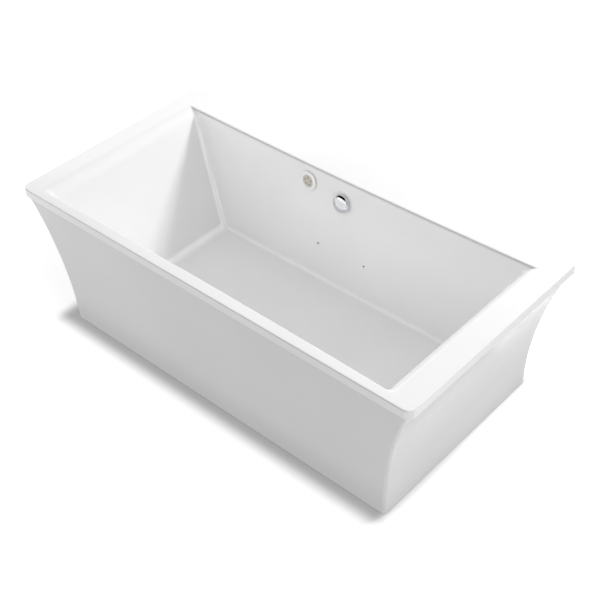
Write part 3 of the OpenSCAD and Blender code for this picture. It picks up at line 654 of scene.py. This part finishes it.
def finish(piece, material):
    piece.data.materials.clear()
    piece.data.materials.append(material)


# cast acrylic sheet, vacuum formed over a mould: clear gloss over white, with a very faint long wave in its reflections
formedAcrylic = surfaceMaterial({
    "name": "formedWhiteAcrylic", "tones": ("#F2F2F2", "#F6F6F6"), "drift": 2.2, "grain": 16.0,
    "rough": (0.085, 0.13), "bump": (0.03, 0.002), "sockets": {"IOR": 1.49}})
# the acrylic carries the painted shade and painted highlight of its edges and fillets
paintEdgeShadeAndFilletLight(formedAcrylic)
# the skirt is a second sheet, a little less polished than the bath's face; its tone is set darker than the bath's as
# painted shade for the shade it stands in under the rim
skirtAcrylic = surfaceMaterial({
    "name": "skirtWhiteAcrylic", "tones": ("#E0E0E0", "#E5E5E5"), "drift": 1.8, "grain": 12.0,
    "rough": (0.16, 0.24), "bump": (0.04, 0.002), "sockets": {"IOR": 1.49}})
# nickel-chromium plating over brass: a mirror with faint wipe marks
platedChrome = surfaceMaterial({
    "name": "polishedChromePlate", "tones": ("#DCDDE0", "#E6E7EA"), "drift": 60.0, "grain": 240.0,
    "rough": (0.03, 0.06), "bump": (0.01, 0.0002), "sockets": {"Metallic": 1.0}})
# injection-moulded ABS, gloss tool face
mouldedAbs = surfaceMaterial({
    "name": "mouldedWhiteAbs", "tones": ("#F2F2F3", "#F7F7F8"), "drift": 80.0, "grain": 500.0,
    "rough": (0.18, 0.26), "bump": (0.05, 0.0002), "sockets": {"IOR": 1.54}})
# satin spark-eroded face of the control
satinAbs = surfaceMaterial({
    "name": "satinWarmAbs", "tones": ("#C4BCB2", "#CDC6BB"), "drift": 300.0, "grain": 2200.0,
    "rough": (0.4, 0.5), "bump": (0.15, 0.0001), "sockets": {"IOR": 1.54}})
darkAbs = surfaceMaterial({
    "name": "satinDarkAbs", "tones": ("#7C7770", "#858079"), "drift": 300.0, "grain": 2200.0,
    "rough": (0.4, 0.5), "bump": (0.12, 0.0001), "sockets": {"IOR": 1.54}})
# injection-moulded polypropylene, used black under the bath
blackPolypropylene = surfaceMaterial({
    "name": "mouldedBlackPolypropylene", "tones": ("#1B1B1D", "#27272A"), "drift": 40.0, "grain": 900.0,
    "rough": (0.42, 0.58), "bump": (0.2, 0.0003), "sockets": {"IOR": 1.49}})
# extruded PVC pipe, faintly drawn along its length
extrudedPvc = surfaceMaterial({
    "name": "extrudedWhitePvc", "tones": ("#DFDFDA", "#E9E9E4"), "drift": 30.0, "grain": 400.0,
    "rough": (0.3, 0.42), "bump": (0.1, 0.0003), "sockets": {"IOR": 1.53}})
# vulcanised rubber with talc bloom
mouldedRubber = surfaceMaterial({
    "name": "mouldedBlackRubber", "tones": ("#161616", "#242423"), "drift": 90.0, "grain": 1200.0,
    "rough": (0.7, 0.85), "bump": (0.3, 0.0003), "sockets": {"IOR": 1.52}})
# hot-dipped steel: zinc crystals a centimetre or two across
galvanisedSteel = surfaceMaterial({
    "name": "hotDippedSteel", "tones": ("#8D9092", "#B4B7B8"), "drift": 90.0, "grain": 500.0, "span": (0.4, 0.62),
    "rough": (0.32, 0.52), "bump": (0.1, 0.0003), "sockets": {"Metallic": 1.0}})
# birch plywood, long grain along the bath
birchPly = surfaceMaterial({
    "name": "sealedBirchPlywood", "tones": ("#B08E60", "#CDB083"), "drift": 30.0, "grain": 260.0, "stretch": (0.08, 1, 1),
    "rough": (0.5, 0.68), "bump": (0.3, 0.0004), "sockets": {"IOR": 1.5}})
# epoxy-glass board under green solder mask
circuitBoard = surfaceMaterial({
    "name": "greenSolderMask", "tones": ("#0F4A24", "#1B6A35"), "drift": 500.0, "grain": 1500.0,
    "rough": (0.25, 0.4), "bump": (0.2, 0.0002), "sockets": {"IOR": 1.55}})

finishes = {
    "acrylic": formedAcrylic, "chrome": platedChrome, "white_plastic": mouldedAbs, "face_plastic": satinAbs,
    "button_plastic": darkAbs, "black_plastic": blackPolypropylene, "pipe_plastic": extrudedPvc, "rubber": mouldedRubber,
    "galvanised": galvanisedSteel, "board": birchPly, "circuit": circuitBoard,
}
slotOf = {row["node"]: row["material_slot"] for row in frame["record"]["subparts"]}
for name, cadNode in nodes.items():
    finish(cadNode, finishes[slotOf[name]])
finish(basin, formedAcrylic)
finish(outerSkirt, skirtAcrylic)
for piece in (overflowKnob, knobShaft, drainStopper):
    finish(piece, platedChrome)
for piece in (controlRing, rearJets, frontJets):
    finish(piece, mouldedAbs)
for piece in pushButtons:
    finish(piece, darkAbs)
for piece, wall in ((rearJets, onRearWall), (frontJets, onFrontWall)):
    piece.data.materials.append(blackPolypropylene)
    for face in piece.data.polygons:
        spot = wall(min(jet["xs"], key=lambda x: abs(x - face.center.x)), jet["z"]).inverted() @ face.center
        face.material_index = 1 if spot.xy.length < jet["hole"] + 0.0002 else 0
print("stage: materials")

# floor, lights and camera
studio = {
    "floorSize": 40, "floorGlow": 0.42, "world": 0.45,
    "base": (0.787, 0.411, 0), "paintedShadowReach": 0.075, "shadeShift": (0.03, 0.012, 0),
    "eye": (2.34218, -2.37060, 3.08526), "forward": (-0.5280314, 0.54717463, -0.64944805), "roll": -3.02, "lens": 70.48,
}


def makeFloor():
    clearSelection()
    bpy.ops.mesh.primitive_plane_add(size=studio["floorSize"], location=(0, 0, -0.0005))
    floor = bpy.context.object
    floor.name = "studioFloor"
    floor.visible_diffuse = False
    material, tree, shader = startMaterial("paleFloor", Roughness=0.9)
    shader.inputs["Emission Color"].default_value = (1, 1, 1, 1)
    where = addNode(tree, "ShaderNodeTexCoord").outputs["Object"]
    # distance outside the base, so that the floor darkens softly where the tub stands on it: a painted contact shadow
    # in the floor's colour and glow
    moved = addNode(tree, "ShaderNodeVectorMath", {"operation": "ADD", 1: studio["shadeShift"]}, {0: where})
    folded = addNode(tree, "ShaderNodeVectorMath", {"operation": "ABSOLUTE"}, {0: moved.outputs[0]})
    past = addNode(tree, "ShaderNodeVectorMath", {"operation": "SUBTRACT", 1: studio["base"]}, {0: folded.outputs[0]})
    outside = addNode(tree, "ShaderNodeVectorMath", {"operation": "MAXIMUM", 1: (0, 0, 0)}, {0: past.outputs[0]})
    reach = addNode(tree, "ShaderNodeVectorMath", {"operation": "LENGTH"}, {0: outside.outputs[0]})
    away = addNode(tree, "ShaderNodeMapRange", {"interpolation_type": "SMOOTHSTEP", "From Max": studio["paintedShadowReach"],
                                                "To Min": 0.0, "To Max": 1.0}, {0: reach.outputs["Value"]})
    tone = addNode(tree, "ShaderNodeValToRGB", None, {0: away.outputs[0]})
    tone.color_ramp.elements[0].color, tone.color_ramp.elements[1].color = linear("#D2D2D2"), linear("#F5F5F5")
    tree.links.new(tone.outputs[0], shader.inputs["Base Color"])
    # the glow fades in the same painted shadow
    glow = addNode(tree, "ShaderNodeMath", {"operation": "MULTIPLY", 1: studio["floorGlow"]}, {0: away.outputs[0]})
    tree.links.new(glow.outputs[0], shader.inputs["Emission Strength"])
    finish(floor, material)


def addSoftbox(name, position, target, width, height, power):
    data = bpy.data.lights.new(name, "AREA")
    data.shape, data.size, data.size_y, data.energy = "RECTANGLE", width, height, power
    light = bpy.data.objects.new(name, data)
    light.location = position
    light.rotation_mode = "QUATERNION"
    light.rotation_quaternion = (Vector(target) - Vector(position)).to_track_quat("-Z", "Y")
    scene.collection.objects.link(light)
    return light


def addCard(name, position, target, width, height, glow):
    # a card that is only seen in reflections
    clearSelection()
    bpy.ops.mesh.primitive_plane_add(size=1)
    card = bpy.context.object
    card.name = name
    card.scale = (width, height, 1)
    card.rotation_mode = "QUATERNION"
    card.rotation_quaternion = (Vector(target) - Vector(position)).to_track_quat("Z", "Y")
    card.location = position
    card.visible_camera = card.visible_diffuse = card.visible_shadow = card.visible_transmission = False
    material, tree, shader = startMaterial(name + "Face", Roughness=1.0, Emission_Strength=glow, Specular_IOR_Level=0.0)
    shader.inputs["Base Color"].default_value = (0, 0, 0, 1)
    shader.inputs["Emission Color"].default_value = (1, 1, 1, 1)
    finish(card, material)


def makeCamera():
    data = bpy.data.cameras.new("camera")
    data.lens, data.sensor_width, data.clip_end = studio["lens"], 36, 100
    camera = bpy.data.objects.new("camera", data)
    forward = Vector(studio["forward"]).normalized()
    right = forward.cross(Vector((0, 0, 1))).normalized()
    up = right.cross(forward)
    turn = math.radians(studio["roll"])
    rightTurned = right * math.cos(turn) + up * math.sin(turn)
    upTurned = up * math.cos(turn) - right * math.sin(turn)
    camera.matrix_world = Matrix((rightTurned, upTurned, -forward)).transposed().to_4x4()
    camera.location = studio["eye"]
    scene.collection.objects.link(camera)
    scene.camera = camera


makeFloor()
keyLight = addSoftbox("keyLight", (1.6, 3.6, 3.8), (-0.1, 0.0, 0.4), 1.0, 1.0, 172)
topLight = addSoftbox("topLight", (0.3, -0.6, 4.2), (0.0, 0.0, 0.3), 3.5, 2.5, 25)
keyLight.visible_glossy = topLight.visible_glossy = False
addCard("stripCard", (-2.6, 2.9, 2.3), (0.8, 0.0, 0.6), 5.4, 1.0, 1.6)
addCard("darkCard", (-2.0, -0.6, 2.6), (-2.0, -0.6, 0.0), 6.2, 3.4, 0.0)
addCard("frontCard", (-0.6, -2.6, 1.6), (-0.6, 0.0, 1.6), 7.0, 2.0, 1.25)
addSoftbox("frontLight", (-1.2, -4.2, 2.4), (0.0, 0.0, 0.3), 2.4, 1.6, 22)
leftLight = addSoftbox("leftLight", (-1.9, -1.9, 0.9), (-0.6, -0.4, 0.3), 0.8, 0.8, 6)
endLight = addSoftbox("endLight", (2.6, -0.9, 0.45), (0.85, -0.2, 0.25), 0.8, 0.6, 9)
leftLight.visible_glossy = endLight.visible_glossy = False
world = bpy.data.worlds.new("studio")
world.use_nodes = True
world.node_tree.nodes["Background"].inputs[0].default_value = (1, 1, 1, 1)
world.node_tree.nodes["Background"].inputs[1].default_value = studio["world"]
scene.world = world
makeCamera()
print("stage: studio")
